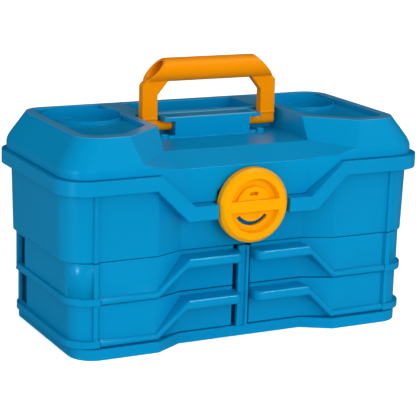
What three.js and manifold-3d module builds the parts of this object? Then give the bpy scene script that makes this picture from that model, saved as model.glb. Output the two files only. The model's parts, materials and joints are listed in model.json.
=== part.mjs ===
// Art supply box: a hinged lid over an open bin, with a four-drawer cabinet below,
// a folding carry handle and a turning latch knob.
// Millimetres. X is to the right, Y to the back, Z up; the origin is under the middle of the base.
import * as THREE from 'three';
import { mergeVertices } from 'three/addons/utils/BufferGeometryUtils.js';
import { ConvexGeometry } from 'three/addons/geometries/ConvexGeometry.js';
import Module from 'manifold-3d';

const wasm = await Module();
wasm.setup();

// ---------------------------------------------------------------- driving dimensions

const GAP = 0.4; // clearance between neighbouring pieces
const WALL = 3; // moulded wall thickness
const PAST = 1; // how far a cutter runs past the face it cuts
const FAR = 260; // beyond every face of the box, for cutters
const ARC_STEPS = 4; // half the number of facets in each rounded corner

// The front of every lower moulding steps back between these two half widths.
const BEND_OUT = 96;
const BEND_IN = 67;

const BASE = { halfWidth: 178.5, front: -92.5, back: 84, corner: 24, recess: 17, top: 10.6 };
const SPINE_HALF = 2; // half thickness of the ribs under the base
const FOOT_HALF = 15; // half width of the pad the base rests on in its middle
const BOSS = { radius: 6, bottom: 4 };
const CABINET = { halfWidth: 182, front: -86, back: 80, corner: 22, recess: 12, top: 92.2 };
const TIER_STEP = 2; // how far the lower tier's side walls stand inside the upper tier's
const RIB_FRONT = 5; // how far the raised ribs stand out of the cabinet's front and the drawers
const RIB_SIDE = 2.6; // and out of the cabinet's sides
const RIB_HEIGHT = 6.7;
const BEHIND_FRONT = -60; // any plane between the front walls and the middle, for cutters
const OPENING_HALF = 155.5; // half width of the cabinet's open front
const POST_RIB = 5; // width of the upright rib beside the opening
const SIDE_SLOT = { front: 38, back: 57, bottom: 19, top: 88 };

const DRAWER_PITCH = 41;
const DRAWER_BOTTOM = BASE.top + 2 * GAP;
const DRAWER_FRONT_HEIGHT = 39.9;
const DRAWER_INNER_END = 9.5;
const TRAY = { inner: 13, outer: 153, back: 66, sideHeight: 32, lift: 2, wall: 2.2 };
const LIP = {
  underside: 26.9, height: 9.5, front: -94.5, inner: 8, chamfer: 4.5,
  lowBend: 95.5, lowBendTop: 97, highBend: 67.5, highBendTop: 65,
};
const SHELF = { bottom: 50.2, thickness: 2.2, front: -64, back: 74 };
const RUNNER_THICKNESS = 2.2; // the ledges that carry the shelves' edges
const POST_HALF = 5.8; // half width of the centre partition's front edge
const POST_FRONT = -79;

const BIN = {
  halfWidth: 188.4, front: -86.5, back: 80.5, corner: 26, recess: 12, bottom: 92.9, rim: 172,
};
const BIN_DRAFT = 0.99; // the bin's foot is this much smaller than its rim
const BIN_RIB_CENTRE = OPENING_HALF + 3.8;

const BAND = { halfWidth: 194.5, front: -97.5, back: 95, corner: 31, top: 172, height: 13.7 };
const DIP = 31.9; // how far the band drops in the middle of the front
const DIP_TOP_OUT = 97.3;
const DIP_TOP_IN = 62.6;
const DIP_LOW_OUT = 102.2;
const DIP_LOW_IN = 69.4;
const BAND_OPENING_HALF = 38.5;

const LID = { halfWidth: 189.3, front: -92.5, back: 93, corner: 28, shoulder: 183 };
const POD = { halfWidth: 171, front: -80.5, back: 84, corner: 23, top: 208.5 };
const SHOULDER_ROUND = 4; // height over which the skirt turns into the slope
const APRON_FRONT = -83.5;
const APRON_TOP = 174;
const VALLEY = { halfWidth: 78.5, floor: 187, front: -58, back: 19.5 };
const FACET = { topFront: -44, outerX: 122.2, outerY: -79.5, shoulderX: 114.5 };
const POD_BORDER = { side: 9, front: 13, back: 6 };
const POD_FLOOR = 203.6;
const CUP = { x: 121.4, y: 42.7, radius: 38.5, floor: 196.5, lip: 1.8, lipTop: 206 };
const BRIDGE = { halfWidth: 41.5, front: -5.5, top: 207, stripHalf: 53.5, stripUnderside: 203.3 };
const TROUGH = { halfWidth: 62, front: 24.5, back: 76, floor: 198 };
const NOTCH = { halfWidthLow: 34, halfWidthHigh: 29, foot: 150.5, top: 154 };

const HINGE = { y: 101.5, z: 172, knuckleRadius: 5, pinRadius: 2.2, x: 112 };
const KNUCKLE_HALF = 14; // half length of the lid's knuckle
const KNUCKLE_END = 11; // length of each of the bin's two knuckles beside it

const HANDLE = {
  pivotY: 7.5, pivotZ: 198.2, pinRadius: 5.1, pinInner: 34.5, outer: 73.6, inner: 57.4, depth: 10,
  gripRadius: 11.6, gripZ: 253.1, gripHalf: 80, bore: 8.6, kneeOut: 238.5, kneeIn: 228.5,
};

const KNOB = {
  z: 136, radius: 36.6, faceRadius: 33.2, back: -88, front: -98.6, dish: 26.8, bar: 11, shaft: 8,
};
const BIN_WALL = BIN.front + BIN.recess; // outside of the bin's front wall behind the knob
const CAM = { halfLength: 34, halfHeight: 6, thickness: 2.6, hub: 13, back: BIN_WALL - 2.8 };
const SHAFT_END = BIN_WALL + WALL + 7;

const SCREW = { x: 168, front: -72, back: 66, hole: 2.4, shank: 1.8, head: 4, headHeight: 2.4 };

const ORANGE = 0xf89a10;
const YELLOW = 0xffab0a;
const BLUE = 0x0093cc;
const STEEL = 0xb4b8bc;

// ---------------------------------------------------------------- helpers

/** A closed three.js geometry as a solid that can be joined and cut. */
function solid(geometry) {
  const bare = geometry.clone();
  bare.deleteAttribute('normal');
  bare.deleteAttribute('uv');
  const merged = mergeVertices(bare, 1e-4);
  const vertProperties = Float32Array.from(merged.attributes.position.array);
  const triVerts = Uint32Array.from(merged.index.array);
  return new wasm.Manifold(new wasm.Mesh({ numProp: 3, vertProperties, triVerts }));
}

function join(...parts) {
  return parts.reduce((sum, part) => sum.add(part));
}

function cut(body, ...tools) {
  return tools.reduce((rest, tool) => rest.subtract(tool), body);
}

/** A solid turned back into a named mesh with its own material. */
function piece(name, body, color, roughness, metalness = 0) {
  const { vertProperties, triVerts } = body.getMesh();
  const geometry = new THREE.BufferGeometry();
  geometry.setAttribute('position', new THREE.BufferAttribute(Float32Array.from(vertProperties), 3));
  geometry.setIndex(new THREE.BufferAttribute(Uint32Array.from(triVerts), 1));
  geometry.computeVertexNormals();
  const material = new THREE.MeshStandardMaterial({ color, roughness, metalness });
  const mesh = new THREE.Mesh(geometry, material);
  mesh.name = name;
  return mesh;
}

function box(x0, x1, y0, y1, z0, z1) {
  const geometry = new THREE.BoxGeometry(x1 - x0, y1 - y0, z1 - z0);
  return solid(geometry.translate((x0 + x1) / 2, (y0 + y1) / 2, (z0 + z1) / 2));
}

function polygon(points) {
  return new THREE.Shape(points.map(([a, b]) => new THREE.Vector2(a, b)));
}

/** A plan shape raised from z0 to z1. */
function prismZ(shape, z0, z1) {
  const geometry = new THREE.ExtrudeGeometry(shape, {
    depth: z1 - z0, bevelEnabled: false, curveSegments: ARC_STEPS,
  });
  return solid(geometry.translate(0, 0, z0));
}

/** A front elevation, in X and Z, run from y0 back to y1. */
function prismY(shape, y0, y1) {
  const geometry = new THREE.ExtrudeGeometry(shape, {
    depth: y1 - y0, bevelEnabled: false, curveSegments: 2 * ARC_STEPS,
  });
  return solid(geometry.rotateX(Math.PI / 2).translate(0, y1, 0));
}

function cylinderX(radius, x0, x1, y, z, facets = 24) {
  const geometry = new THREE.CylinderGeometry(radius, radius, x1 - x0, facets);
  return solid(geometry.rotateZ(Math.PI / 2).translate((x0 + x1) / 2, y, z));
}

function cylinderY(frontRadius, backRadius, y0, y1, x, z, facets = 32) {
  const geometry = new THREE.CylinderGeometry(backRadius, frontRadius, y1 - y0, facets);
  return solid(geometry.translate(x, (y0 + y1) / 2, z));
}

function cylinderZ(radius, z0, z1, x, y, facets = 32) {
  const geometry = new THREE.CylinderGeometry(radius, radius, z1 - z0, facets);
  return solid(geometry.rotateX(Math.PI / 2).translate(x, y, (z0 + z1) / 2));
}

function hull(points) {
  return solid(new ConvexGeometry(points.map(([x, y, z]) => new THREE.Vector3(x, y, z))));
}

/** The same solid on the other side of the plane X = 0. */
function mirrored(body) {
  const { vertProperties, triVerts } = body.getMesh();
  const flipped = Float32Array.from(vertProperties, (value, i) => (i % 3 === 0 ? -value : value));
  const turned = Uint32Array.from(triVerts);
  for (let i = 0; i < turned.length; i += 3) {
    [turned[i], turned[i + 1]] = [turned[i + 1], turned[i]];
  }
  return new wasm.Manifold(new wasm.Mesh({ numProp: 3, vertProperties: flipped, triVerts: turned }));
}

/** Both of a pair of mirrored solids as one. */
function bothSides(body) {
  return body.add(mirrored(body));
}

/** A rounded rectangle in plan, whose front may step back in the middle; inset shrinks it. */
function plan({ halfWidth, front, back, corner, recess = 0 }, inset = 0) {
  const w = halfWidth - inset;
  const f = front + inset;
  const b = back - inset;
  const r = corner - inset;
  const slant = inset * 0.4;
  const shape = new THREE.Shape();
  shape.moveTo(-w + r, f);
  if (recess > 0) {
    shape.lineTo(-BEND_OUT - slant, f);
    shape.lineTo(-BEND_IN - slant, f + recess);
    shape.lineTo(BEND_IN + slant, f + recess);
    shape.lineTo(BEND_OUT + slant, f);
  }
  shape.lineTo(w - r, f);
  shape.absarc(w - r, f + r, r, -Math.PI / 2, 0);
  shape.lineTo(w, b - r);
  shape.absarc(w - r, b - r, r, 0, Math.PI / 2);
  shape.lineTo(-w + r, b);
  shape.absarc(-w + r, b - r, r, Math.PI / 2, Math.PI);
  shape.lineTo(-w, f + r);
  shape.absarc(-w + r, f + r, r, Math.PI, 1.5 * Math.PI);
  return shape;
}

/** A solid between a low outline and a high one that has the same number of points. */
function loft(lowShape, highShape, z0, z1) {
  const low = lowShape.extractPoints(ARC_STEPS).shape;
  const high = highShape.extractPoints(ARC_STEPS).shape;
  const geometry = new THREE.ExtrudeGeometry(lowShape, {
    depth: z1 - z0, bevelEnabled: false, curveSegments: ARC_STEPS,
  });
  const position = geometry.attributes.position;
  for (let i = 0; i < position.count; i += 1) {
    const x = position.getX(i);
    const y = position.getY(i);
    if (position.getZ(i) > 0) {
      const index = low.findIndex((p) => Math.hypot(p.x - x, p.y - y) < 1e-3);
      position.setXY(i, high[index].x, high[index].y);
    }
  }
  return solid(geometry.translate(0, 0, z0));
}

/** The same outline scaled about the middle of the plan. */
function scaledPlan(dims, inset, scale) {
  const points = plan(dims, inset).extractPoints(ARC_STEPS).shape;
  return polygon(points.map((p) => [p.x * scale, p.y * scale]));
}

/** An outline part of the way from one set of plan dimensions to another. */
function betweenPlans(a, b, t, inset) {
  const mix = (key) => a[key] + (b[key] - a[key]) * t;
  const dims = {
    halfWidth: mix('halfWidth'), front: mix('front'), back: mix('back'), corner: mix('corner'),
  };
  return plan(dims, inset);
}

/** The point at a given Y on the line from p through q. */
function along(p, q, y) {
  const t = (y - p[1]) / (q[1] - p[1]);
  return p.map((value, i) => value + (q[i] - value) * t);
}

// ---------------------------------------------------------------- base and cabinet

function plinthBase() {
  const skinBottom = BASE.top - WALL;
  const shell = cut(prismZ(plan(BASE), 0, BASE.top), prismZ(plan(BASE, WALL + 1), -PAST, skinBottom));
  const reach = BASE.halfWidth - WALL;
  const longRib = box(-reach, reach, -SPINE_HALF, SPINE_HALF, 0, skinBottom + 1);
  const ribStart = BASE.front + BASE.recess + WALL + 5;
  const crossRib = box(58, 62, ribStart, BASE.back - WALL, 0, skinBottom + 1);
  const restPad = box(-FOOT_HALF, FOOT_HALF, -FOOT_HALF, FOOT_HALF, 0, skinBottom + 1);
  const holes = cornerSpots().map(([x, y]) => cylinderZ(SCREW.hole, -PAST, BASE.top + PAST, x, y, 12));
  const boss = ([x, y]) => cylinderZ(BOSS.radius, BOSS.bottom, skinBottom + 1, x, y, 16);
  const bosses = cornerSpots().map(boss);
  return cut(join(shell, longRib, bothSides(crossRib), restPad, ...bosses), ...holes);
}

/** Where the four corner screws stand, in plan. */
function cornerSpots() {
  const { x, front, back } = SCREW;
  return [[-x, front], [x, front], [x, back], [-x, back]];
}

function ribRing(zLow) {
  const proud = {
    halfWidth: CABINET.halfWidth + RIB_SIDE, front: CABINET.front - RIB_FRONT,
    back: CABINET.back - 5, corner: CABINET.corner + RIB_FRONT - 1,
  };
  const ring = prismZ(plan(proud), zLow, zLow + RIB_HEIGHT);
  const band = cut(ring, prismZ(plan(CABINET, TIER_STEP + 1), 0, FAR));
  return cut(band, box(-OPENING_HALF, OPENING_HALF, -FAR, 0, 0, FAR));
}

function drawerCabinet() {
  const bottom = BASE.top + GAP;
  const tier = bottom + DRAWER_PITCH;
  const lowPlan = {
    ...CABINET, halfWidth: CABINET.halfWidth - TIER_STEP, back: CABINET.back - TIER_STEP,
    corner: CABINET.corner - TIER_STEP,
  };
  const lowTier = cut(prismZ(plan(lowPlan), bottom, tier), prismZ(plan(lowPlan, WALL), 0, FAR));
  const highTier = cut(prismZ(plan(CABINET), tier, CABINET.top), prismZ(plan(lowPlan, WALL), 0, FAR));
  const shell = join(lowTier, highTier);
  const frontOpening = box(-OPENING_HALF, OPENING_HALF, -FAR, BEHIND_FRONT, 0, FAR);
  const { front, back, bottom: slotBottom, top: slotTop } = SIDE_SLOT;
  const slot = box(CABINET.halfWidth - 10, FAR, front, back, slotBottom, slotTop);
  const face = CABINET.front;
  const edge = OPENING_HALF + 1;
  const upright = box(edge, edge + POST_RIB, face - 3, face + 1, bottom, CABINET.top);
  const jamb = box(
    OPENING_HALF + 1.5, OPENING_HALF + 4.2, CABINET.front + 1, BEHIND_FRONT, bottom, CABINET.top,
  );
  const sideRunner = shelfRunner(TRAY.outer - 2, CABINET.halfWidth - TIER_STEP - 1);
  const posts = cornerSpots().map(([x, y]) => cylinderZ(7, bottom, CABINET.top, x, y, 16));
  const ribs = [DRAWER_BOTTOM, DRAWER_BOTTOM + DRAWER_PITCH].map((z) => ribRing(z + 0.2));
  const body = join(cut(shell, frontOpening, bothSides(slot)), ...ribs, bothSides(join(upright, jamb)));
  const fitted = join(body, bothSides(sideRunner), ...posts);
  return cut(fitted, ...cornerSpots().map(([x, y]) => cylinderZ(SCREW.hole, 0, FAR, x, y, 12)));
}

/** A ledge under a shelf's edge. */
function shelfRunner(x0, x1) {
  const top = SHELF.bottom - GAP;
  return box(x0, x1, SHELF.front + 2, SHELF.back - 3, top - RUNNER_THICKNESS, top);
}

function centrePartition() {
  const back = CABINET.back - TIER_STEP - WALL - GAP;
  const bottom = BASE.top + GAP;
  const web = box(-1.5, 1.5, POST_FRONT + 4, back, bottom, CABINET.top);
  const face = box(-POST_HALF, POST_HALF, POST_FRONT, POST_FRONT + 5, bottom, CABINET.top);
  const groove = box(-2.6, 2.6, POST_FRONT - PAST, POST_FRONT + 2.5, 0, FAR);
  return join(cut(face, groove), web, bothSides(shelfRunner(1, TRAY.inner + 2)));
}

function shelf() {
  const top = SHELF.bottom + SHELF.thickness;
  return box(2, OPENING_HALF + 0.5, SHELF.front, SHELF.back, SHELF.bottom, top);
}

// ---------------------------------------------------------------- drawers

/** The raised lip of a right-hand drawer: a low rib, a rising diagonal and a finger pull. */
function drawerLip(bottom) {
  const ribFront = CABINET.front - RIB_FRONT;
  const ribTop = bottom + RIB_HEIGHT;
  const under = bottom + LIP.underside;
  const over = under + LIP.height;
  const ribBack = CABINET.front + 1;
  const pullBack = CABINET.front + CABINET.recess + 1;
  const ribEnd = (y) => [[OPENING_HALF, y, bottom], [OPENING_HALF, y, ribTop]];
  const ribBend = (y) => [[LIP.lowBend, y, bottom], [LIP.lowBendTop, y, ribTop]];
  const pullBend = (y) => [[LIP.highBend, y, under], [LIP.highBendTop, y, over]];
  const pullEnd = (x, y) => [[x, y, under], [x, y, over]];
  const rib = hull([...ribEnd(ribFront), ...ribEnd(ribBack), ...ribBend(ribFront), ...ribBend(ribBack)]);
  const diagonal = hull([
    ...ribBend(ribFront), ...ribBend(ribBack), ...pullBend(LIP.front), ...pullBend(pullBack),
  ]);
  const pull = hull([
    ...pullBend(LIP.front), ...pullBend(pullBack), ...pullEnd(LIP.inner + LIP.chamfer, LIP.front),
    ...pullEnd(LIP.inner, LIP.front + LIP.chamfer), ...pullEnd(LIP.inner, pullBack),
  ]);
  return join(rib, diagonal, pull);
}

/** A right-hand drawer: a front that follows the cabinet's plan, the lip and the open tray. */
function drawer(bottom) {
  const top = bottom + DRAWER_FRONT_HEIGHT;
  const f = CABINET.front;
  const r = f + CABINET.recess;
  const end = OPENING_HALF - GAP;
  const front = prismZ(polygon([
    [DRAWER_INNER_END, r], [BEND_IN, r], [BEND_OUT, f], [end, f],
    [end, f + WALL], [BEND_OUT + 1, f + WALL], [BEND_IN + 1, r + WALL], [DRAWER_INNER_END, r + WALL],
  ]), bottom, top);
  const trayBottom = bottom + TRAY.lift;
  const trayTop = trayBottom + TRAY.sideHeight;
  const trayPlan = (inset) => polygon([
    [TRAY.inner + inset, r + WALL - 1 + inset], [BEND_IN + 1 + 0.4 * inset, r + WALL - 1 + inset],
    [BEND_OUT + 1 + 0.4 * inset, f + WALL - 1 + inset], [TRAY.outer - inset, f + WALL - 1 + inset],
    [TRAY.outer - inset, TRAY.back - inset], [TRAY.inner + inset, TRAY.back - inset],
  ]);
  const hollow = prismZ(trayPlan(TRAY.wall), trayBottom + TRAY.wall, FAR);
  const tray = cut(prismZ(trayPlan(0), trayBottom, trayTop), hollow);
  const trimmed = drawerLip(bottom + 0.2).subtract(box(end, FAR, -FAR, 0, 0, FAR));
  return join(front, trimmed, tray);
}

// ---------------------------------------------------------------- bin

/** The band's front elevation, dipping in the middle. */
function bandElevation() {
  const top = BAND.top;
  const low = BAND.top - BAND.height;
  const edge = BAND.halfWidth + 2;
  return polygon([
    [-edge, low], [-DIP_LOW_OUT, low], [-DIP_LOW_IN, low - DIP], [DIP_LOW_IN, low - DIP],
    [DIP_LOW_OUT, low], [edge, low], [edge, top], [DIP_TOP_OUT, top],
    [DIP_TOP_IN, top - DIP], [-DIP_TOP_IN, top - DIP], [-DIP_TOP_OUT, top], [-edge, top],
  ]);
}

function rimBand() {
  const outer = plan(BAND);
  const low = BAND.top - BAND.height;
  const frontHalf = prismZ(outer, low - DIP - 1, BAND.top + 1).intersect(prismY(bandElevation(), -FAR, 0));
  const backHalf = cut(prismZ(outer, low, BAND.top), box(-FAR, FAR, -FAR, 0, 0, FAR));
  const half = BAND_OPENING_HALF;
  const opening = box(-half, half, -FAR, BEHIND_FRONT, low - DIP - 1, BAND.top - 1);
  return cut(join(frontHalf, backHalf), prismZ(plan(BIN, 1.5), 0, FAR), opening);
}

function knuckle(x0, x1) {
  return cylinderX(HINGE.knuckleRadius, x0, x1, HINGE.y, HINGE.z, 20);
}

/** The right-hand hinge's two knuckles on the bin. */
function binKnuckles() {
  const spans = [
    [HINGE.x - KNUCKLE_HALF - GAP - KNUCKLE_END, HINGE.x - KNUCKLE_HALF - GAP],
    [HINGE.x + KNUCKLE_HALF + GAP, HINGE.x + KNUCKLE_HALF + GAP + KNUCKLE_END],
  ];
  const r = HINGE.knuckleRadius;
  const web = ([x0, x1]) => box(x0, x1, BAND.back - 1, HINGE.y, HINGE.z - r, HINGE.z - 1.2);
  return join(...spans.map(([x0, x1]) => join(knuckle(x0, x1), web([x0, x1]))));
}

function hingeBore() {
  const reach = KNUCKLE_HALF + 2 * KNUCKLE_END;
  return cylinderX(HINGE.pinRadius + 0.25, HINGE.x - reach, HINGE.x + reach, HINGE.y, HINGE.z, 16);
}

function upperBin() {
  const low = scaledPlan(BIN, 0, BIN_DRAFT);
  const high = scaledPlan(BIN, 0, 1);
  const outside = loft(low, high, BIN.bottom, BIN.rim);
  const lowInside = scaledPlan(BIN, WALL, BIN_DRAFT);
  const inside = loft(lowInside, scaledPlan(BIN, WALL, 1), BIN.bottom + WALL, BIN.rim + PAST);
  const ribTop = BAND.top - BAND.height + 1;
  const ribSection = (z, wallY) => [
    [BIN_RIB_CENTRE - 2.5, wallY + 1, z], [BIN_RIB_CENTRE + 2.5, wallY + 1, z],
    [BIN_RIB_CENTRE - 2, wallY - 2.5, z], [BIN_RIB_CENTRE + 2, wallY - 2.5, z],
  ];
  const footSection = ribSection(BIN.bottom, BIN.front * BIN_DRAFT);
  const upright = hull([...footSection, ...ribSection(ribTop, BIN.front)]);
  const boss = cylinderY(17, 19, BIN_WALL - 2.4, BIN_WALL + 1, 0, KNOB.z);
  const shaftBore = cylinderY(KNOB.shaft + 0.3, KNOB.shaft + 0.3, -FAR, BEHIND_FRONT, 0, KNOB.z, 24);
  const shell = join(outside, rimBand(), bothSides(join(upright, binKnuckles())), boss);
  const screwHoles = cornerSpots().map(([x, y]) => cylinderZ(SCREW.hole, 0, KNOB.z, x, y, 12));
  const lowered = cut(shell, inside, shaftBore, bothSides(hingeBore()));
  return cut(lowered, ...screwHoles);
}

// ---------------------------------------------------------------- lid

/** The space over the lid's valley, between the pods; grown by a wall for the inside. */
function valleySpace(grow) {
  const v = VALLEY;
  const farY = LID.front - 40;
  const floor = v.floor - grow;
  const foot = [v.halfWidth + grow, v.front + grow, floor];
  const crest = [v.halfWidth + grow, FACET.topFront + grow, POD.top];
  const outer = [FACET.outerX + grow * 1.4, FACET.outerY, POD.top];
  const shoulder = [FACET.shoulderX + grow * 1.4, LID.front, LID.shoulder - grow];
  const rise = 0.6; // how much of the facet's height is repeated above the pods
  const lift = (p) => p.map((value, i) => value + (crest[i] - foot[i]) * rise);
  const apronEdge = [40, APRON_FRONT + grow, APRON_TOP - grow];
  const side = [
    foot, lift(crest), along([apronEdge[0], foot[1], floor], apronEdge, farY),
    along(foot, shoulder, farY), lift(along(crest, outer, farY)),
  ];
  const top = lift(crest)[2];
  const trench = box(-foot[0], foot[0], foot[1], v.back + grow, floor, top);
  return join(trench, hull([...side, ...side.map(([x, y, z]) => [-x, y, z])]));
}

/** Everything the lid's outside encloses before the valley is cut, shrunk by inset. */
function lidBlank(inset) {
  const skirtBottom = BAND.top - DIP + GAP - (inset > 0 ? 20 : 0);
  const turnLow = LID.shoulder - SHOULDER_ROUND;
  const turnHigh = LID.shoulder + SHOULDER_ROUND;
  const shareUp = SHOULDER_ROUND / (POD.top - LID.shoulder);
  const rings = [
    [turnLow, 0], [turnLow + 2, 0.12 * shareUp], [LID.shoulder, 0.33 * shareUp],
    [turnHigh - 2, 0.66 * shareUp], [turnHigh, shareUp], [POD.top - inset, 1],
  ];
  const layers = rings.slice(1).map(([z, share], i) => loft(
    betweenPlans(LID, POD, rings[i][1], inset), betweenPlans(LID, POD, share, inset), rings[i][0], z,
  ));
  const skirt = prismZ(plan(LID, inset), skirtBottom, turnLow);
  const apronX = 1.4 * inset;
  const front = APRON_FRONT + inset;
  const recess = prismZ(polygon([
    [-BEND_OUT - apronX, LID.front + inset], [-BEND_IN + 2 - 0.4 * inset, front],
    [BEND_IN - 2 + 0.4 * inset, front], [BEND_OUT + apronX, LID.front + inset],
    [BEND_OUT + apronX, -FAR], [-BEND_OUT - apronX, -FAR],
  ]), BIN.bottom, FAR);
  return cut(join(skirt, ...layers), recess);
}

/** The part of space above the band's top edge, which the lid's skirt follows. */
function aboveBand() {
  const z = BAND.top + GAP;
  const edge = BAND.halfWidth + 10;
  const shape = polygon([
    [-edge, z], [-DIP_TOP_OUT, z], [-DIP_TOP_IN, z - DIP], [DIP_TOP_IN, z - DIP],
    [DIP_TOP_OUT, z], [edge, z], [edge, FAR], [-edge, FAR],
  ]);
  return join(prismY(shape, -FAR, 0), box(-edge, edge, -1, FAR, z, FAR));
}

function cupPlace(build) {
  return bothSides(build(CUP.x, CUP.y));
}

/** The shallow floor inside a pod's raised border. */
function podRecess() {
  const b = POD_BORDER;
  const inner = VALLEY.halfWidth + b.side;
  const outer = POD.halfWidth - b.side;
  const front = POD.front + b.front;
  const back = POD.back - b.back;
  const r = POD.corner - b.side;
  const shape = new THREE.Shape();
  shape.moveTo(inner, FACET.topFront + 8);
  shape.lineTo(FACET.outerX + 3, front);
  shape.lineTo(outer - r, front);
  shape.absarc(outer - r, front + r, r, -Math.PI / 2, 0);
  shape.lineTo(outer, back - r);
  shape.absarc(outer - r, back - r, r, 0, Math.PI / 2);
  shape.lineTo(inner, back);
  return prismZ(shape, POD_FLOOR, FAR);
}

function lidKnuckle() {
  const x0 = HINGE.x - KNUCKLE_HALF;
  const x1 = HINGE.x + KNUCKLE_HALF;
  const r = HINGE.knuckleRadius;
  return join(knuckle(x0, x1), box(x0, x1, LID.back - 1, HINGE.y, HINGE.z + 1.2, HINGE.z + r));
}

/** The bar across the valley that carries the handle, with a strip on top and open ends below. */
function bridge() {
  const b = BRIDGE;
  const back = VALLEY.back + 1;
  const block = box(-b.halfWidth, b.halfWidth, b.front, back, VALLEY.floor - 1, b.top);
  const strip = box(-b.stripHalf, b.stripHalf, b.front, back, b.stripUnderside, b.top);
  const ledge = box(b.halfWidth - 1, 49, b.front, b.front + 4, VALLEY.floor - 1, VALLEY.floor + 2.5);
  const tab = box(50, 57, b.front - 1, b.front + 5, VALLEY.floor - 1, VALLEY.floor + 4);
  return join(block, strip, bothSides(join(ledge, tab)));
}

function lidShell() {
  const outside = join(cut(lidBlank(0), valleySpace(0)), bridge());
  const trough = box(-TROUGH.halfWidth, TROUGH.halfWidth, TROUGH.front, TROUGH.back, TROUGH.floor, FAR);
  const well = cupPlace((x, y) => cylinderZ(CUP.radius, CUP.floor, FAR, x, y, 48));
  const ring = cupPlace((x, y) => cut(
    cylinderZ(CUP.radius + CUP.lip, CUP.floor, CUP.lipTop, x, y, 48),
    cylinderZ(CUP.radius, 0, FAR, x, y, 48),
  ));
  const pinBore = cylinderX(
    HANDLE.pinRadius + 0.35, HANDLE.pinInner - 1, BRIDGE.halfWidth + PAST, HANDLE.pivotY, HANDLE.pivotZ,
  );
  const dressed = cut(join(cut(outside, bothSides(podRecess())), ring), well, trough, bothSides(pinBore));
  const underCups = cupPlace((x, y) => cylinderZ(CUP.radius + WALL, CUP.floor - WALL, FAR, x, y, 48));
  const troughHalf = TROUGH.halfWidth + WALL;
  const underTrough = box(
    -troughHalf, troughHalf, VALLEY.back - 1, TROUGH.back + 20, TROUGH.floor - WALL, FAR,
  );
  const bridgeHalf = BRIDGE.halfWidth + 1;
  const underBridge = box(
    -bridgeHalf, bridgeHalf, BRIDGE.front - 1, VALLEY.back + 1, VALLEY.floor - 7, FAR,
  );
  const underPods = box(-FAR, FAR, -FAR, FAR, POD_FLOOR - WALL, FAR);
  const inside = cut(lidBlank(WALL), valleySpace(WALL), underCups, underTrough, underBridge, underPods);
  const n = NOTCH;
  const notch = prismY(polygon([
    [-n.halfWidthLow, BIN.bottom], [n.halfWidthLow, BIN.bottom], [n.halfWidthLow, n.foot],
    [n.halfWidthHigh, n.top], [-n.halfWidthHigh, n.top], [-n.halfWidthLow, n.foot],
  ]), -FAR, BEHIND_FRONT);
  const body = cut(dressed.intersect(aboveBand()), inside, notch);
  return cut(join(body, bothSides(lidKnuckle())), bothSides(hingeBore()));
}

// ---------------------------------------------------------------- handle, latch and fasteners

function handle() {
  const h = HANDLE;
  const y0 = h.pivotY - h.depth / 2;
  const y1 = h.pivotY + h.depth / 2;
  const leg = prismY(polygon([
    [h.inner, h.pivotZ], [h.outer, h.pivotZ], [h.outer, h.kneeOut], [68, h.kneeOut + 8.5],
    [60, h.gripZ], [45, h.gripZ], [45.3, h.gripZ - 9.6], [54.5, h.kneeIn + 3.7], [h.inner, h.kneeIn],
  ]), y0, y1);
  const pin = cylinderX(h.pinRadius, h.pinInner, h.outer, h.pivotY, h.pivotZ);
  const grip = cylinderX(h.gripRadius, -h.gripHalf, h.gripHalf, h.pivotY, h.gripZ, 32);
  const over = h.gripZ + h.gripRadius + PAST;
  const under = h.gripZ - h.gripRadius;
  const endCut = prismY(polygon([[48.5, over], [71, under], [FAR, under], [FAR, over]]), -FAR, FAR);
  const bore = cylinderX(h.bore, -FAR, FAR, h.pivotY, h.gripZ, 32);
  const tube = cut(join(grip, bothSides(leg)), bothSides(endCut), bore);
  return join(tube, bothSides(pin));
}

/** A band along an arc about the knob's axis, seen from the front. */
function arcBand(inner, outer, from, to) {
  const shape = new THREE.Shape();
  shape.absarc(0, 0, outer, from, to, false);
  shape.absarc(0, 0, inner, to, from, true);
  return prismY(shape, -FAR, BEHIND_FRONT).translate([0, 0, KNOB.z]);
}

function latchKnob() {
  const k = KNOB;
  const edge = 4; // depth of the face's bevelled edge
  const dishDepth = 7;
  const disc = cylinderY(k.radius, k.radius, k.front + edge, k.back, 0, k.z, 48);
  const face = cylinderY(k.faceRadius, k.radius, k.front, k.front + edge, 0, k.z, 48);
  const shaft = cylinderY(k.shaft, k.shaft, k.back - 1, SHAFT_END, 0, k.z, 24);
  const pocket = cylinderY(k.dish, k.dish - 1.5, k.front - PAST, k.front + dishDepth, 0, k.z, 40);
  const bar = box(-40, 40, k.front - 5, 0, k.z - k.bar / 2, k.z + k.bar / 2);
  const step = cut(
    cylinderY(18.5, 18.5, k.front + 4, k.front + dishDepth + 1, 0, k.z, 32), box(-40, 40, -FAR, 0, 0, k.z),
  );
  const smile = arcBand(16.5, 20.5, 1.2 * Math.PI, 1.8 * Math.PI);
  const brow = arcBand(10, 13, 0.38 * Math.PI, 0.62 * Math.PI);
  const dished = join(cut(join(disc, face), cut(pocket, bar)), step);
  const through = cut(dished, smile, brow.intersect(box(-40, 40, -FAR, k.front + 9.5, 0, FAR)));
  return cut(join(through, shaft), cylinderY(1.6, 1.6, BIN_WALL, 0, 0, k.z, 12));
}

/** The bar behind the knob that turns under the lid's apron and holds it down. */
function latchCam() {
  const { halfLength, halfHeight, thickness, hub: radius, back } = CAM;
  const bar = box(
    -halfLength, halfLength, back - thickness, back, KNOB.z - halfHeight, KNOB.z + halfHeight,
  );
  const hub = cylinderY(radius, radius, KNOB.back + GAP, back, 0, KNOB.z, 32);
  return cut(join(bar, hub), cylinderY(KNOB.shaft + GAP, KNOB.shaft + GAP, -FAR, 0, 0, KNOB.z, 24));
}

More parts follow.
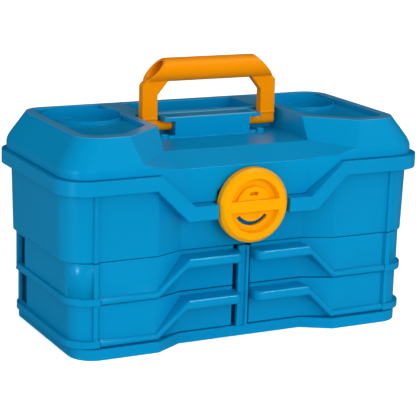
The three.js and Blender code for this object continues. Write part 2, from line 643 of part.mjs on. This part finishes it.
function latchWasher() {
  const inner = BIN_WALL + WALL + 0.8;
  return cut(
    cylinderY(14, 14, inner, inner + 1.6, 0, KNOB.z, 24),
    cylinderY(KNOB.shaft + GAP, KNOB.shaft + GAP, -FAR, 0, 0, KNOB.z, 24),
  );
}

function latchScrew() {
  const shank = cylinderY(1.3, 1.3, BIN_WALL + 1, SHAFT_END + 1, 0, KNOB.z, 12);
  const head = cylinderY(11, 9, SHAFT_END + GAP, SHAFT_END + 3.4, 0, KNOB.z, 24);
  return join(shank, head);
}

function hingePin() {
  const half = KNUCKLE_HALF + GAP + KNUCKLE_END;
  const shank = cylinderX(HINGE.pinRadius, HINGE.x - half, HINGE.x + half + 1, HINGE.y, HINGE.z, 16);
  const head = cylinderX(3.6, HINGE.x + half + GAP, HINGE.x + half + 2.4, HINGE.y, HINGE.z, 16);
  return join(shank, head);
}

/** A pan-head screw pointing down (or up when flipped), its head's underside at z. */
function screw(x, y, z, length, up) {
  const way = up ? 1 : -1;
  const span = (a, b) => [Math.min(a, b), Math.max(a, b)];
  const [s0, s1] = span(z, z + way * length);
  const [h0, h1] = span(z - way * SCREW.headHeight, z);
  return join(cylinderZ(SCREW.shank, s0, s1, x, y, 12), cylinderZ(SCREW.head, h0, h1, x, y, 16));
}

/** One screw in each corner that holds the bin down on the cabinet. */
function binScrews() {
  return cornerSpots().map(([x, y], i) => {
    const body = screw(x, y, BIN.bottom + WALL + GAP, 24, false);
    return piece(`bin_screw_${i + 1}`, body, STEEL, 0.3, 1);
  });
}

/** One screw in each corner that holds the base up to the cabinet. */
function baseScrews() {
  return cornerSpots().map(([x, y], i) => {
    const body = screw(x, y, BOSS.bottom - GAP, 30, true);
    return piece(`base_screw_${i + 1}`, body, STEEL, 0.3, 1);
  });
}

// ---------------------------------------------------------------- assembly

const artBox = new THREE.Group();
const lowDrawer = drawer(DRAWER_BOTTOM);
const highDrawer = drawer(DRAWER_BOTTOM + DRAWER_PITCH);
const satin = 0.42;

artBox.add(
  piece('plinth_base', plinthBase(), BLUE, satin),
  piece('drawer_cabinet', drawerCabinet(), BLUE, satin),
  piece('centre_partition', centrePartition(), BLUE, satin),
  piece('shelf_right', shelf(), BLUE, satin),
  piece('shelf_left', mirrored(shelf()), BLUE, satin),
  piece('drawer_lower_right', lowDrawer, BLUE, satin),
  piece('drawer_lower_left', mirrored(lowDrawer), BLUE, satin),
  piece('drawer_upper_right', highDrawer, BLUE, satin),
  piece('drawer_upper_left', mirrored(highDrawer), BLUE, satin),
  piece('upper_bin', upperBin(), BLUE, satin),
  piece('lid_shell', lidShell(), BLUE, satin),
  piece('handle', handle(), ORANGE, 0.38),
  piece('latch_knob', latchKnob(), YELLOW, 0.36),
  piece('latch_cam', latchCam(), BLUE, satin),
  piece('latch_washer', latchWasher(), STEEL, 0.3, 1),
  piece('latch_screw', latchScrew(), STEEL, 0.3, 1),
  piece('hinge_pin_right', hingePin(), STEEL, 0.3, 1),
  piece('hinge_pin_left', mirrored(hingePin()), STEEL, 0.3, 1),
  ...binScrews(),
  ...baseScrews(),
);

export default artBox;
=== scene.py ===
"""Art supply box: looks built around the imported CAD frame. Metres, the same frame as the CAD."""
import json
import math

import bmesh
import bpy
from mathutils import Matrix, Vector

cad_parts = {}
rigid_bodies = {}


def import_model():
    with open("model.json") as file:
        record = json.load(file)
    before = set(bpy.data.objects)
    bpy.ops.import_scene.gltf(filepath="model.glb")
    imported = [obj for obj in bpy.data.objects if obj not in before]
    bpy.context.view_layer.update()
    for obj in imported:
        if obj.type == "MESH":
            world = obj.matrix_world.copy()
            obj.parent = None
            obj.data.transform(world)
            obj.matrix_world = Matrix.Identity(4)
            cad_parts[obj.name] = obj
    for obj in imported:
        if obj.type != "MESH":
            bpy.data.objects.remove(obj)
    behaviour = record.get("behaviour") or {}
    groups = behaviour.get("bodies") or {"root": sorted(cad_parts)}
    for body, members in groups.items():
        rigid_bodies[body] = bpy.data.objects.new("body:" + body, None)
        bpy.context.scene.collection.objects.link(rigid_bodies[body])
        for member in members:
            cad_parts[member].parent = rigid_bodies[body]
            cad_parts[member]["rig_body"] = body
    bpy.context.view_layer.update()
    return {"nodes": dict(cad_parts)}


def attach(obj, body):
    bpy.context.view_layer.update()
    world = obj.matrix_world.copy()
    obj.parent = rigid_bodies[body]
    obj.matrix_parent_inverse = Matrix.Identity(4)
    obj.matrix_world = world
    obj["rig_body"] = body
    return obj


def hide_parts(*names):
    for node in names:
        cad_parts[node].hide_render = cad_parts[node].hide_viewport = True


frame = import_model()

MM = 0.001

# Camera: its turn in degrees, its place and its lens.
AZIMUTH, ELEVATION, ROLL = -27.22, 13.93, 1.63
CAMERA_AT = Vector((-0.7065, -1.3729, 0.4942))
LENS = 136.6

# Studio: where the room is brightest, its dim and bright levels, and the lamps in watts.
KEY_FROM = (-0.02, -1.0, 0.2)
ROOM_DIM, ROOM_BRIGHT = 0.27, 0.95
KEY_POWER = 14.5
SIDE_POWER = 7
GLINT_POWER = 15
FLOOR_GLOW = 0.7
FLOOR_HALF = 6.0

# Moulded edges, in millimetres.
FULL_ROUND = 2.9  # a full share, given to ribs and pulls
SLIGHT_ROUND = 0.7  # every edge of the pieces without shares
SOFT_EDGE = 1.3  # the width over which the shading turns at an edge
SHARP_ANGLE = 20  # degrees between faces, above which an edge counts as one
FLAT_ANGLE = 0.6  # degrees between faces, below which they are merged
BEVEL_SEGMENTS = 3

# Shading of the plastic.
EDGE_HIGHLIGHT = 0.25  # how far sharp convex edges go towards their paler colour, a painted highlight
SHEEN_PAINTED_ABOVE = 208.2  # mm, above which the lid is painted greyer: a painted sheen on its highest faces
PAINTED_SHEEN_BLUE = (0.14, 0.38, 0.60)
SHEEN_SHARE = 0.5  # how far those faces go towards that colour, the painted sheen

# Where the added beads sit, in millimetres.
BRIDGE_TOP = 207
LEG_FOOT = 205.5
CUP_RIM = 206
CUP_X, CUP_Y, CUP_RADIUS = 121.4, 42.7, 39.4
BEAD_SHARP_ANGLE = 30  # degrees, as SHARP_ANGLE but for these beads


# ---------------------------------------------------------------- materials

def node(tree, kind, x, y, **values):
    """A new shader node at a place in the editor, with its properties set."""
    made = tree.nodes.new(kind)
    made.location = (x, y)
    for key, value in values.items():
        setattr(made, key, value)
    return made


def plastic(name, colour, tint, roughness=0.3, coat=0.12, painted_sheen=False):
    """Moulded polypropylene: faint flow mottling, a fine sparked grain and sharp edges painted
    paler, a painted highlight.

    One given the sheen has its highest faces painted a little greyer: a painted sheen standing in
    for the reflection of the white room.
    """
    material = bpy.data.materials.new(name)
    material.use_nodes = True
    tree = material.node_tree
    shader = tree.nodes["Principled BSDF"]
    links = tree.links
    place = node(tree, "ShaderNodeTexCoord", -1200, 0)
    flow = node(tree, "ShaderNodeTexNoise", -900, 200)
    flow.inputs["Scale"].default_value = 14
    flow.inputs["Detail"].default_value = 3
    links.new(place.outputs["Object"], flow.inputs["Vector"])
    shade = node(tree, "ShaderNodeMix", -600, 200, data_type="RGBA")
    shade.inputs["A"].default_value = (*[c * 0.93 for c in colour], 1)
    shade.inputs["B"].default_value = (*[min(1, c * 1.06) for c in colour], 1)
    links.new(flow.outputs["Fac"], shade.inputs["Factor"])
    # Painted highlight: sharp convex edges, found by their pointiness, are painted paler for the
    # light they catch.
    edge = node(tree, "ShaderNodeNewGeometry", -900, -100)
    ramp = node(tree, "ShaderNodeMapRange", -700, -100)
    ramp.inputs["From Min"].default_value = 0.52
    ramp.inputs["From Max"].default_value = 0.62
    ramp.inputs["To Max"].default_value = EDGE_HIGHLIGHT
    links.new(edge.outputs["Pointiness"], ramp.inputs["Value"])
    edge_highlight_mix = node(tree, "ShaderNodeMix", -350, 150, data_type="RGBA")
    edge_highlight_mix.inputs["B"].default_value = (*[min(1, c * 1.15) for c in colour], 1)
    links.new(ramp.outputs["Result"], edge_highlight_mix.inputs["Factor"])
    links.new(shade.outputs["Result"], edge_highlight_mix.inputs["A"])
    colour_out = edge_highlight_mix.outputs["Result"]
    # Painted sheen: the highest faces are painted greyer in place of the white room they would
    # mirror.
    if painted_sheen:
        split = node(tree, "ShaderNodeSeparateXYZ", -900, 500)
        links.new(place.outputs["Object"], split.inputs["Vector"])
        height = node(tree, "ShaderNodeMapRange", -700, 500)
        height.inputs["From Min"].default_value = (SHEEN_PAINTED_ABOVE - 0.3) * MM
        height.inputs["From Max"].default_value = SHEEN_PAINTED_ABOVE * MM
        height.inputs["To Max"].default_value = SHEEN_SHARE
        links.new(split.outputs["Z"], height.inputs["Value"])
        sheen_mix = node(tree, "ShaderNodeMix", -150, 300, data_type="RGBA")
        sheen_mix.inputs["B"].default_value = (*PAINTED_SHEEN_BLUE, 1)
        links.new(height.outputs["Result"], sheen_mix.inputs["Factor"])
        links.new(colour_out, sheen_mix.inputs["A"])
        colour_out = sheen_mix.outputs["Result"]
    links.new(colour_out, shader.inputs["Base Color"])
    grain = node(tree, "ShaderNodeTexNoise", -900, -400)
    grain.inputs["Scale"].default_value = 900
    grain.inputs["Detail"].default_value = 2
    links.new(place.outputs["Object"], grain.inputs["Vector"])
    bump = node(tree, "ShaderNodeBump", -300, -400)
    bump.inputs["Strength"].default_value = 0.08
    bump.inputs["Distance"].default_value = 0.0002
    links.new(grain.outputs["Fac"], bump.inputs["Height"])
    soft = node(tree, "ShaderNodeBevel", -600, -550, samples=6)
    soft.inputs["Radius"].default_value = SOFT_EDGE * MM
    links.new(soft.outputs["Normal"], bump.inputs["Normal"])
    links.new(bump.outputs["Normal"], shader.inputs["Normal"])
    gloss = node(tree, "ShaderNodeMapRange", -600, -250)
    gloss.inputs["To Min"].default_value = roughness - 0.04
    gloss.inputs["To Max"].default_value = roughness + 0.06
    links.new(flow.outputs["Fac"], gloss.inputs["Value"])
    links.new(gloss.outputs["Result"], shader.inputs["Roughness"])
    shader.inputs["Specular IOR Level"].default_value = 0.28
    shader.inputs["Specular Tint"].default_value = (*tint, 1)
    shader.inputs["Coat Weight"].default_value = coat
    shader.inputs["Coat Roughness"].default_value = 0.18
    return material


def steel(name):
    """Plated steel with a faint mottle."""
    material = bpy.data.materials.new(name)
    material.use_nodes = True
    tree = material.node_tree
    shader = tree.nodes["Principled BSDF"]
    shader.inputs["Metallic"].default_value = 1
    place = node(tree, "ShaderNodeTexCoord", -900, 0)
    noise = node(tree, "ShaderNodeTexNoise", -700, 0)
    noise.inputs["Scale"].default_value = 220
    tree.links.new(place.outputs["Object"], noise.inputs["Vector"])
    tone = node(tree, "ShaderNodeMix", -450, 100, data_type="RGBA")
    tone.inputs["A"].default_value = (0.45, 0.46, 0.48, 1)
    tone.inputs["B"].default_value = (0.62, 0.63, 0.64, 1)
    tree.links.new(noise.outputs["Fac"], tone.inputs["Factor"])
    tree.links.new(tone.outputs["Result"], shader.inputs["Base Color"])
    rough = node(tree, "ShaderNodeMapRange", -450, -150)
    rough.inputs["To Min"].default_value = 0.25
    rough.inputs["To Max"].default_value = 0.45
    tree.links.new(noise.outputs["Fac"], rough.inputs["Value"])
    tree.links.new(rough.outputs["Result"], shader.inputs["Roughness"])
    return material


# Each plastic's colour and the tint of what it mirrors. The pale blue is not the relief's own
# colour but a painted sheen on its top.
BODY_BLUE = ((0.0, 0.275, 0.56), (0.05, 0.6, 1.0))
RELIEF_SHEEN_BLUE = ((0.16, 0.40, 0.60), (0.3, 0.7, 1.0))
HANDLE_ORANGE = ((0.92, 0.28, 0.0), (1.0, 0.55, 0.02))
KNOB_YELLOW = ((0.97, 0.40, 0.0), (1.0, 0.65, 0.05))

BLUE = plastic("blue_plastic", *BODY_BLUE)
# The lid's highest faces get the painted sheen.
LID_BLUE = plastic("blue_plastic_lid", *BODY_BLUE, coat=0.05, painted_sheen=True)
ORANGE = plastic("orange_plastic", *HANDLE_ORANGE, roughness=0.5, coat=0)
YELLOW = plastic("yellow_plastic", *KNOB_YELLOW, roughness=0.45, coat=0)
# The bridge relief is painted pale: a painted sheen standing in for the reflection on its top.
RELIEF_BLUE = plastic("blue_plastic_relief", *RELIEF_SHEEN_BLUE, roughness=0.45, coat=0)
STEEL = steel("steel")


# ---------------------------------------------------------------- pieces from the CAD nodes

# What share of the full rounding an edge gets, from the place of its middle in millimetres.
# Ribs and pulls lie in front of FRONT_Y, or beyond SIDE_X.
FRONT_Y = -88.5
SIDE_X = 182.8
RIB_TOP = 60
PULL_X = 154


def pull_edges(x, y, z):
    """A drawer's ribs and pull."""
    return 1 if y < FRONT_Y and abs(x) < PULL_X else 0


def ring_edges(x, y, z):
    """The cabinet's ribs, and slightly every other edge."""
    return 1 if (y < FRONT_Y or abs(x) > SIDE_X) and z < RIB_TOP else 0.2


def grip_edges(x, y, z):
    """Every edge of the handle."""
    return 0.4


def refined(name, material, slot, share=None, clamp=True):
    """A copy of a CAD node with merged faces, rounded edges and smooth shading.

    It stands for the node in the visual model.
    """
    source = frame["nodes"][name]
    mesh = bpy.data.meshes.new(f"{name}_skin")
    work = bmesh.new()
    work.from_mesh(source.data)
    bmesh.ops.remove_doubles(work, verts=work.verts, dist=0.005 * MM)
    bmesh.ops.dissolve_limit(
        work, angle_limit=math.radians(FLAT_ANGLE), verts=work.verts, edges=work.edges,
        use_dissolve_boundaries=False, delimit=set(),
    )
    work.normal_update()
    if share:
        weight = work.edges.layers.float.new("bevel_weight_edge")
        for edge in work.edges:
            if edge.is_convex and edge.calc_face_angle(0) > math.radians(SHARP_ANGLE):
                middle = (edge.verts[0].co + edge.verts[1].co) / (2 * MM)
                edge[weight] = share(*middle)
    work.to_mesh(mesh)
    work.free()
    mesh.polygons.foreach_set("use_smooth", [True] * len(mesh.polygons))
    mesh.set_sharp_from_angle(angle=math.radians(SHARP_ANGLE))
    obj = bpy.data.objects.new(f"{name}_skin", mesh)
    bpy.context.scene.collection.objects.link(obj)
    mesh.materials.append(material)
    round_off = obj.modifiers.new("rounded_edges", "BEVEL")
    round_off.width = (FULL_ROUND if share else SLIGHT_ROUND) * MM
    round_off.segments = BEVEL_SEGMENTS
    round_off.limit_method = "WEIGHT" if share else "ANGLE"
    round_off.angle_limit = math.radians(SHARP_ANGLE)
    round_off.use_clamp_overlap = clamp
    even = obj.modifiers.new("even_shading", "WEIGHTED_NORMAL")
    even.keep_sharp = True
    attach(obj, source["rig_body"])
    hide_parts(name)


def smooth_piece(name, verts, faces, material, slot, body):
    """A new mesh piece, given in millimetres, that rides on a body."""
    mesh = bpy.data.meshes.new(name)
    mesh.from_pydata([[c * MM for c in v] for v in verts], [], faces)
    mesh.validate()
    mesh.polygons.foreach_set("use_smooth", [True] * len(mesh.polygons))
    mesh.set_sharp_from_angle(angle=math.radians(BEAD_SHARP_ANGLE))
    mesh.materials.append(material)
    obj = bpy.data.objects.new(name, mesh)
    bpy.context.scene.collection.objects.link(obj)
    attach(obj, body)


def swept(path, profile, closed=False):
    """A tube: the profile's (side, up) offsets carried along a path of (point, side, up)."""
    verts, faces = [], []
    for point, side, up in path:
        for a, b in profile:
            verts.append([p + a * s + b * u for p, s, u in zip(point, side, up)])
    n = len(profile)
    rings = len(path)
    for i in range(rings if closed else rings - 1):
        j = (i + 1) % rings
        for k in range(n):
            m = (k + 1) % n
            faces.append((i * n + k, i * n + m, j * n + m, j * n + k))
    if not closed:
        faces.append(tuple(range(n - 1, -1, -1)))
        faces.append(tuple((rings - 1) * n + k for k in range(n)))
    return verts, faces


def bead(half_width, height, steps=6):
    """A half-round bead's outline, sunk a little into the surface it sits on."""
    arc = [math.pi * i / steps for i in range(steps + 1)]
    top = [(half_width * math.cos(t), height * math.sin(t)) for t in arc]
    sunk = 0.4
    return [(half_width, -sunk)] + top + [(-half_width, -sunk)]


def merged(parts):
    """Several lists of vertices and faces as one."""
    verts, faces = [], []
    for part_verts, part_faces in parts:
        start = len(verts)
        verts += part_verts
        faces += [tuple(start + i for i in face) for face in part_faces]
    return verts, faces


def level_loop(points, z):
    """A closed path through plan points at one height, with its directions at each."""
    path = []
    for i, (x, y) in enumerate(points):
        ax, ay = points[i - 1]
        bx, by = points[(i + 1) % len(points)]
        length = math.hypot(bx - ax, by - ay)
        path.append(((x, y, z), ((by - ay) / length, (ax - bx) / length, 0), (0, 0, 1)))
    return path


def rounded_loop(x0, x1, y0, y1, radius, steps=5):
    """The plan points of a rectangle with rounded corners."""
    corners = ((x1 - radius, y0 + radius, -90), (x1 - radius, y1 - radius, 0),
               (x0 + radius, y1 - radius, 90), (x0 + radius, y0 + radius, 180))
    return [
        (cx + radius * math.cos(math.radians(start + 90 * i / steps)),
         cy + radius * math.sin(math.radians(start + 90 * i / steps)))
        for cx, cy, start in corners for i in range(steps + 1)
    ]


def circle_loop(cx, cy, radius, steps=72):
    """The plan points of a circle."""
    angles = [2 * math.pi * i / steps for i in range(steps)]
    return [(cx + radius * math.cos(t), cy + radius * math.sin(t)) for t in angles]


def moulded_nodes():
    """Every plastic node, refined. Unclamped edges keep their rounding next to short edges."""
    blue = (BLUE, "blue_plastic")
    for name in (
        "plinth_base", "centre_partition", "shelf_right", "shelf_left", "upper_bin", "latch_cam",
    ):
        refined(name, *blue)
    refined("lid_shell", LID_BLUE, "blue_plastic")
    refined("drawer_cabinet", *blue, ring_edges)
    for row in ("lower", "upper"):
        for side in ("right", "left"):
            refined(f"drawer_{row}_{side}", *blue, pull_edges, clamp=False)
    refined("handle", ORANGE, "orange_plastic", grip_edges, clamp=False)
    refined("latch_knob", YELLOW, "yellow_plastic")


def bridge_relief():
    """A raised frame with plain slanting ribs in it, along the top of the bridge."""
    across, up = (0.9, -0.4, 0), (0, 0, 1)
    pitch, lean = 2.6, 1.2
    ribs = [
        swept(
            [
                ((pitch * i - lean, 3.6, BRIDGE_TOP), across, up),
                ((pitch * i + lean, 11.4, BRIDGE_TOP), across, up),
            ],
            bead(0.55, 0.5, 4),
        )
        for i in range(-13, 14)
    ]
    outline = level_loop(rounded_loop(-49.5, 49.5, -3.6, 18.4, 3), BRIDGE_TOP)
    rim = swept(outline, bead(0.9, 0.7), closed=True)
    smooth_piece("bridge_relief", *merged([rim, *ribs]), RELIEF_BLUE, "blue_plastic", "lid")


def handle_collars():
    """A collar around the foot of each leg of the handle."""
    width = 16.2
    for side, x0 in (("right", 57.4), ("left", -73.6)):
        loop = level_loop(rounded_loop(x0, x0 + width, 2.5, 12.5, 1.2), LEG_FOOT)
        path = [(point, (0, 0, 1), outward) for point, outward, _ in loop]
        tube = swept(path, bead(1.3, 0.7), closed=True)
        smooth_piece(f"handle_collar_{side}", *tube, ORANGE, "orange_plastic", "carry_handle")


def cup_beads():
    """A thin bead around the mouth of each cup well."""
    for side, x in (("right", CUP_X), ("left", -CUP_X)):
        loop = level_loop(circle_loop(x, CUP_Y, CUP_RADIUS), CUP_RIM)
        tube = swept(loop, bead(0.85, 0.6), closed=True)
        smooth_piece(f"cup_bead_{side}", *tube, BLUE, "blue_plastic", "lid")


def steel_nodes():
    """The nodes that no refined piece stands for: pins, screws and the latch's washer."""
    for obj in frame["nodes"].values():
        if not obj.hide_render:
            obj.data.materials.clear()
            obj.data.materials.append(STEEL)


moulded_nodes()
bridge_relief()
handle_collars()
cup_beads()
steel_nodes()


# ---------------------------------------------------------------- stage, light and camera

def floor():
    """A white sheet that glows a little to the camera, and looks dark in the box's plastic."""
    mesh = bpy.data.meshes.new("floor")
    h = FLOOR_HALF
    mesh.from_pydata([(-h, -h, 0), (h, -h, 0), (h, h, 0), (-h, h, 0)], [], [(0, 1, 2, 3)])
    obj = bpy.data.objects.new("floor", mesh)
    bpy.context.scene.collection.objects.link(obj)
    material = bpy.data.materials.new("floor")
    material.use_nodes = True
    shader = material.node_tree.nodes["Principled BSDF"]
    shader.inputs["Roughness"].default_value = 0.9
    shader.inputs["Specular IOR Level"].default_value = 0.1
    shader.inputs["Emission Color"].default_value = (1, 1, 1, 1)
    ray = node(material.node_tree, "ShaderNodeLightPath", -600, 0)
    glow = node(material.node_tree, "ShaderNodeMath", -300, 0, operation="MULTIPLY")
    glow.inputs[1].default_value = FLOOR_GLOW
    material.node_tree.links.new(ray.outputs["Is Camera Ray"], glow.inputs[0])
    material.node_tree.links.new(glow.outputs["Value"], shader.inputs["Emission Strength"])
    tone = node(material.node_tree, "ShaderNodeMix", -300, 200, data_type="RGBA")
    tone.inputs["A"].default_value = (0.9, 0.9, 0.9, 1)
    tone.inputs["B"].default_value = (0.06, 0.06, 0.06, 1)
    material.node_tree.links.new(ray.outputs["Is Glossy Ray"], tone.inputs["Factor"])
    material.node_tree.links.new(tone.outputs["Result"], shader.inputs["Base Color"])
    mesh.materials.append(material)


def area_light(name, location, target, size, power, diffuse=True, glossy=True):
    """A softbox; it can be left out of the diffuse or of the mirrored light."""
    light = bpy.data.lights.new(name, "AREA")
    light.shape = "RECTANGLE"
    light.size, light.size_y = size
    light.energy = power
    obj = bpy.data.objects.new(name, light)
    obj.location = location
    direction = Vector(target) - Vector(location)
    obj.rotation_euler = direction.to_track_quat("-Z", "Y").to_euler()
    obj.visible_diffuse = diffuse
    obj.visible_glossy = glossy
    bpy.context.scene.collection.objects.link(obj)


def studio():
    """A room that looks plain white, isn't mirrored and is brightest on the camera's side.

    The key and side lamps only light; the glint and edge lamps are only mirrored.
    """
    world = bpy.data.worlds.new("studio")
    world.use_nodes = True
    tree = world.node_tree
    links = tree.links
    shade = tree.nodes["Background"]
    place = node(tree, "ShaderNodeTexCoord", -900, 0)
    facing = node(tree, "ShaderNodeVectorMath", -700, 0, operation="DOT_PRODUCT")
    facing.inputs[1].default_value = Vector(KEY_FROM).normalized()
    links.new(place.outputs["Generated"], facing.inputs[0])
    level = node(tree, "ShaderNodeMapRange", -500, 0, interpolation_type="SMOOTHSTEP")
    level.inputs["From Min"].default_value = -0.5
    level.inputs["From Max"].default_value = 1.0
    level.inputs["To Min"].default_value = ROOM_DIM
    level.inputs["To Max"].default_value = ROOM_BRIGHT
    links.new(facing.outputs["Value"], level.inputs["Value"])
    ray = node(tree, "ShaderNodeLightPath", -700, 300)
    choose = node(tree, "ShaderNodeMix", -250, 100, data_type="FLOAT")
    choose.inputs["B"].default_value = 1.0
    links.new(ray.outputs["Is Camera Ray"], choose.inputs["Factor"])
    links.new(level.outputs["Result"], choose.inputs["A"])
    links.new(choose.outputs["Result"], shade.inputs["Strength"])
    shade.inputs["Color"].default_value = (1, 1, 1, 1)
    bpy.context.scene.world = world
    world.cycles_visibility.glossy = False
    middle = (0, 0, 0.1)
    area_light("key", (-0.05, -2.15, 0.6), middle, (1.1, 0.8), KEY_POWER, glossy=False)
    area_light("side", (-2.0, -0.35, 0.25), middle, (1.0, 0.7), SIDE_POWER, glossy=False)
    area_light(
        "glint", (0.55, -0.5, 1.3), (0, -0.05, 0.1), (0.5, 0.3), GLINT_POWER, diffuse=False,
    )
    area_light(
        "edge", (-1.6, -0.9, 0.15), (0, -0.05, 0.08), (0.2, 0.4), GLINT_POWER, diffuse=False,
    )


def camera():
    """The camera, turned by its azimuth, elevation and roll in degrees."""
    data = bpy.data.cameras.new("camera")
    data.lens = LENS
    data.sensor_width = 36
    obj = bpy.data.objects.new("camera", data)
    a, e, r = (math.radians(v) for v in (AZIMUTH, ELEVATION, ROLL))
    back = Vector((math.sin(a) * math.cos(e), -math.cos(a) * math.cos(e), math.sin(e)))
    right = Vector((math.cos(a), math.sin(a), 0))
    up = back.cross(right)
    rolled_right = right * math.cos(r) + up * math.sin(r)
    rolled_up = up * math.cos(r) - right * math.sin(r)
    turn = Matrix((rolled_right, rolled_up, back)).transposed().to_4x4()
    obj.matrix_world = Matrix.Translation(CAMERA_AT) @ turn
    bpy.context.scene.collection.objects.link(obj)
    bpy.context.scene.camera = obj


floor()
studio()
camera()
bpy.context.scene.view_settings.view_transform = "Standard"
bpy.context.scene.view_settings.look = "None"
